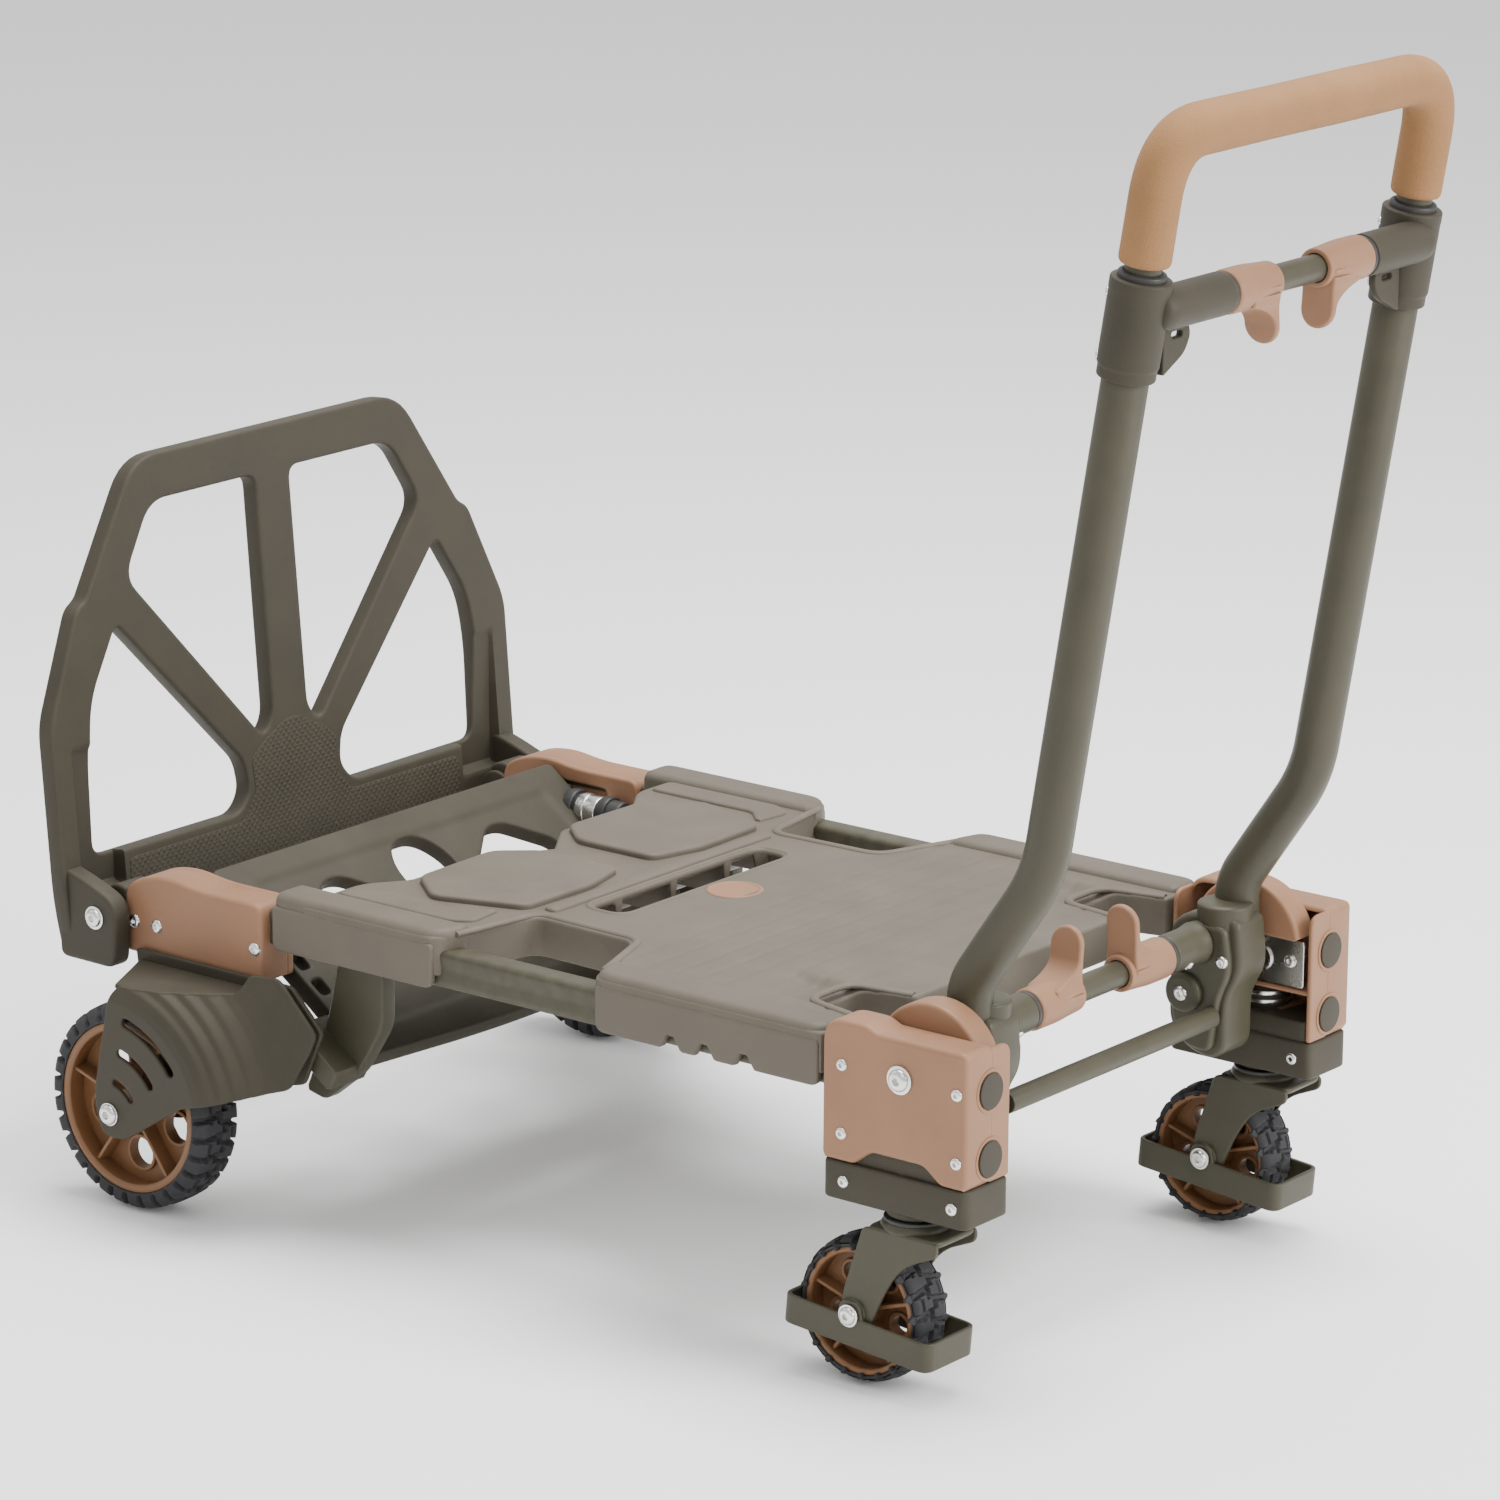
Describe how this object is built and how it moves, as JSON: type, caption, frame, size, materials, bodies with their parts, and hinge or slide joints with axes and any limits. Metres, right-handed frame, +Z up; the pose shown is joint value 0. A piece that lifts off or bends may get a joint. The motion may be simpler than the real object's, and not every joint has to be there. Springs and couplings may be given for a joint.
{
  "type": "folding platform cart",
  "caption": "Folding platform cart with a moulded deck, folding slotted toe plate, folding telescopic push handle with foam grip, large fixed wheels and braked casters.",
  "frame": {"origin": "on the floor, under the middle of the bounding box at rest", "axes": "+X from the toe plate end to the handle end, +Y to the right of someone pushing at the handle, +Z up"},
  "size_m": [0.9046, 0.577, 0.8408],
  "materials": {
    "frame_paint": "satin olive green powder coat",
    "green_plastic": "fine-grained moulded olive green",
    "deck_plastic": "fine-grained moulded olive grey",
    "tan_plastic": "satin moulded tan",
    "grip_foam": "closed-cell foam",
    "tyre_rubber": "treaded black rubber",
    "rim_plastic": "moulded brown tan",
    "zinc": "zinc plated"
  },
  "bodies": {
    "chassis": {"deck_panel": "deck_plastic", "deck_badge": "tan_plastic", "cross_tube_toe": "frame_paint", "cross_tube_handle": "frame_paint", "carrier_panel": "green_plastic", "side_tube_left": "frame_paint", "side_tube_right": "frame_paint", "toe_bracket_left": "tan_plastic", "toe_bracket_right": "tan_plastic", "toe_pin_left": "zinc", "toe_pin_right": "zinc", "handle_housing_left": "tan_plastic", "handle_housing_right": "tan_plastic", "hinge_disc_left": "tan_plastic", "hinge_disc_right": "tan_plastic", "caster_block_left": "green_plastic", "caster_block_right": "green_plastic", "pivot_bolt_left": "zinc", "pivot_bolt_right": "zinc", "bumper_upper_left": "green_plastic", "bumper_upper_right": "green_plastic", "bumper_lower_left": "green_plastic", "bumper_lower_right": "green_plastic", "carrier_brace_left": "frame_paint", "carrier_brace_right": "frame_paint", "fender_left": "green_plastic", "fender_right": "green_plastic", "wheel_bolt_left": "zinc", "wheel_bolt_right": "zinc"},
    "toe_plate": {"toe_plate": "green_plastic"},
    "handle_frame": {"handle_arm_left": "green_plastic", "handle_arm_right": "green_plastic", "upright_left": "frame_paint", "upright_right": "frame_paint", "t_socket_left": "green_plastic", "t_socket_right": "green_plastic", "upper_crossbar": "frame_paint", "lower_crossbar": "frame_paint", "lower_rod": "frame_paint"},
    "handle_slider": {"handle_loop": "frame_paint", "grip": "grip_foam"},
    "upper_trigger_left": {"upper_trigger_left": "tan_plastic"},
    "lower_trigger_left": {"lower_trigger_left": "tan_plastic"},
    "big_wheel_left": {"big_rim_left": "rim_plastic", "big_tyre_left": "tyre_rubber"},
    "caster_left": {"caster_fork_left": "frame_paint"},
    "caster_wheel_left": {"caster_rim_left": "rim_plastic", "caster_tyre_left": "tyre_rubber"},
    "caster_brake_left": {"caster_brake_left": "frame_paint"},
    "upper_trigger_right": {"upper_trigger_right": "tan_plastic"},
    "lower_trigger_right": {"lower_trigger_right": "tan_plastic"},
    "big_wheel_right": {"big_rim_right": "rim_plastic", "big_tyre_right": "tyre_rubber"},
    "caster_right": {"caster_fork_right": "frame_paint"},
    "caster_wheel_right": {"caster_rim_right": "rim_plastic", "caster_tyre_right": "tyre_rubber"},
    "caster_brake_right": {"caster_brake_right": "frame_paint"}
  },
  "joints": [
    {"name": "toe_plate_fold", "type": "hinge", "parent": "chassis", "child": "toe_plate", "pos_m": [-0.38895, 0, 0.195], "axis": [0, -1, 0], "range_deg": [-86, 0]},
    {"name": "handle_fold", "type": "hinge", "parent": "chassis", "child": "handle_frame", "pos_m": [0.29595, 0, 0.2147], "axis": [0, 1, 0], "range_deg": [-90, 80]},
    {"name": "handle_telescope", "type": "slide", "parent": "handle_frame", "child": "handle_slider", "axis": [0.1633, 0, 0.9866], "range_m": [0, 0.25]},
    {"name": "upper_trigger_left_slide", "type": "slide", "parent": "handle_frame", "child": "upper_trigger_left", "axis": [0, 1, 0], "range_m": [0, 0.012], "stiffness_N_per_m": 600},
    {"name": "lower_trigger_left_slide", "type": "slide", "parent": "handle_frame", "child": "lower_trigger_left", "axis": [0, 1, 0], "range_m": [0, 0.012], "stiffness_N_per_m": 600},
    {"name": "big_wheel_left_spin", "type": "hinge", "parent": "chassis", "child": "big_wheel_left", "pos_m": [-0.33535, -0.2485, 0.0744], "axis": [0, 1, 0], "continuous": true},
    {"name": "caster_left_swivel", "type": "hinge", "parent": "chassis", "child": "caster_left", "pos_m": [0.29445, -0.1992, 0.118], "axis": [0, 0, 1], "continuous": true},
    {"name": "caster_wheel_left_spin", "type": "hinge", "parent": "caster_left", "child": "caster_wheel_left", "pos_m": [0.26145, -0.1992, 0.05], "axis": [0, 1, 0], "continuous": true},
    {"name": "caster_brake_left_pedal", "type": "hinge", "parent": "caster_left", "child": "caster_brake_left", "pos_m": [0.26145, -0.1992, 0.05], "axis": [0, 1, 0], "range_deg": [0, 10]},
    {"name": "upper_trigger_right_slide", "type": "slide", "parent": "handle_frame", "child": "upper_trigger_right", "axis": [0, -1, 0], "range_m": [0, 0.012], "stiffness_N_per_m": 600},
    {"name": "lower_trigger_right_slide", "type": "slide", "parent": "handle_frame", "child": "lower_trigger_right", "axis": [0, -1, 0], "range_m": [0, 0.012], "stiffness_N_per_m": 600},
    {"name": "big_wheel_right_spin", "type": "hinge", "parent": "chassis", "child": "big_wheel_right", "pos_m": [-0.33535, 0.2485, 0.0744], "axis": [0, 1, 0], "continuous": true},
    {"name": "caster_right_swivel", "type": "hinge", "parent": "chassis", "child": "caster_right", "pos_m": [0.29445, 0.1992, 0.118], "axis": [0, 0, 1], "continuous": true},
    {"name": "caster_wheel_right_spin", "type": "hinge", "parent": "caster_right", "child": "caster_wheel_right", "pos_m": [0.26145, 0.1992, 0.05], "axis": [0, 1, 0], "continuous": true},
    {"name": "caster_brake_right_pedal", "type": "hinge", "parent": "caster_right", "child": "caster_brake_right", "pos_m": [0.26145, 0.1992, 0.05], "axis": [0, 1, 0], "range_deg": [0, 10]}
  ]
}
